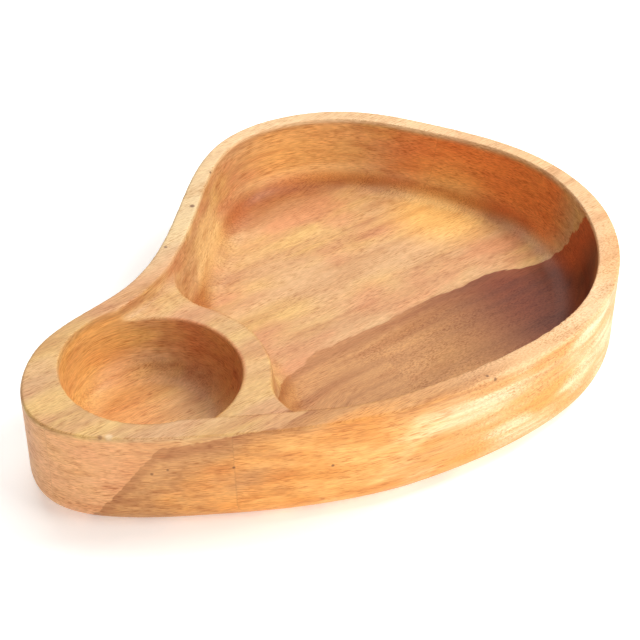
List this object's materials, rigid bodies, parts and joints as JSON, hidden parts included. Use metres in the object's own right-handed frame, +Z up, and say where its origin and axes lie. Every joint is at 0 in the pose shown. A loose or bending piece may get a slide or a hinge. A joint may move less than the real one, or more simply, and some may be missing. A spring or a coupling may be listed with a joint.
{
  "type": "chip and dip server",
  "caption": "Carved hardwood serving dish with a large well for chips and a small round well for dip, parted by a lowered divider.",
  "frame": {"origin": "on the underside, at the middle of the outline's box", "axes": "+X along the dish from the dip well to the chip well, +Z up out of the wells"},
  "size_m": [0.356, 0.265, 0.062],
  "materials": {
    "wood": "satin"
  },
  "bodies": {
    "root": {"front_stave": "wood", "inner_front_stave": "wood", "inner_rear_stave": "wood", "rear_stave": "wood"}
  },
  "joints": []
}
